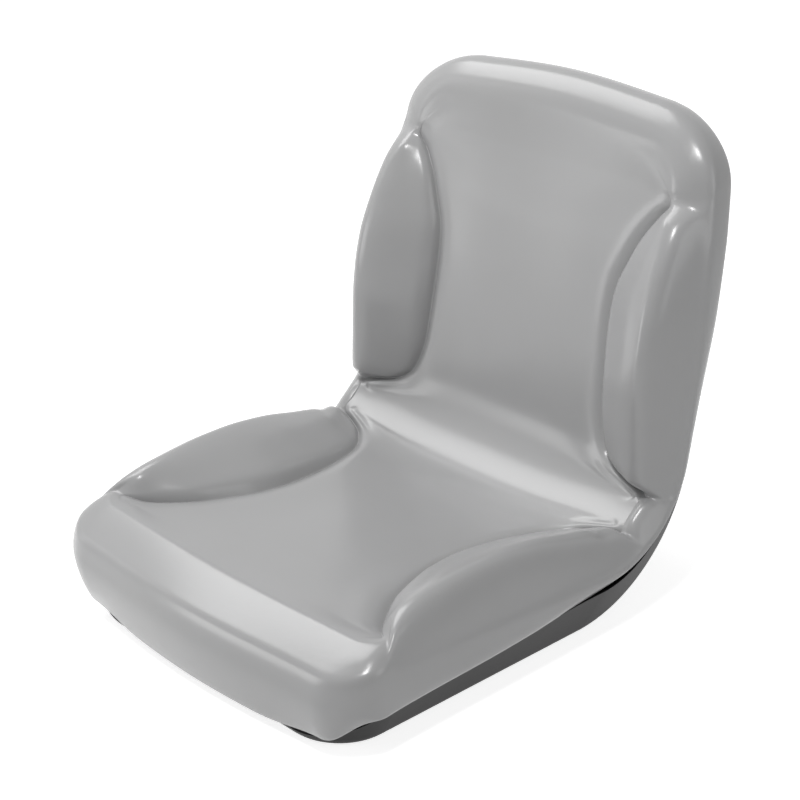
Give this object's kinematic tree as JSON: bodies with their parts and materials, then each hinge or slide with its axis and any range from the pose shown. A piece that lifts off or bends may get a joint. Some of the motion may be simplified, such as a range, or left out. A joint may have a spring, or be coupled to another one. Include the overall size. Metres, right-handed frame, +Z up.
{
  "type": "tractor seat",
  "caption": "High-back garden tractor seat with a moulded grey vinyl cushion, raised side bolsters and a flanged steel pan that bolts down from below.",
  "frame": {"origin": "centre of the bolt pattern on the underside of the seat pan's floor", "axes": "+Z up, -Y towards the front of the seat, +X to the right as seen from the front"},
  "size_m": [0.4684, 0.5623, 0.5176],
  "materials": {
    "vinyl": "grey moulded vinyl skin with a fine leather grain, satin",
    "pan_paint": "black powder coat, low sheen",
    "nut_steel": "zinc plated"
  },
  "bodies": {
    "root": {"cushion": "vinyl", "seat_pan": "pan_paint", "weld_nuts": "nut_steel"}
  },
  "joints": []
}
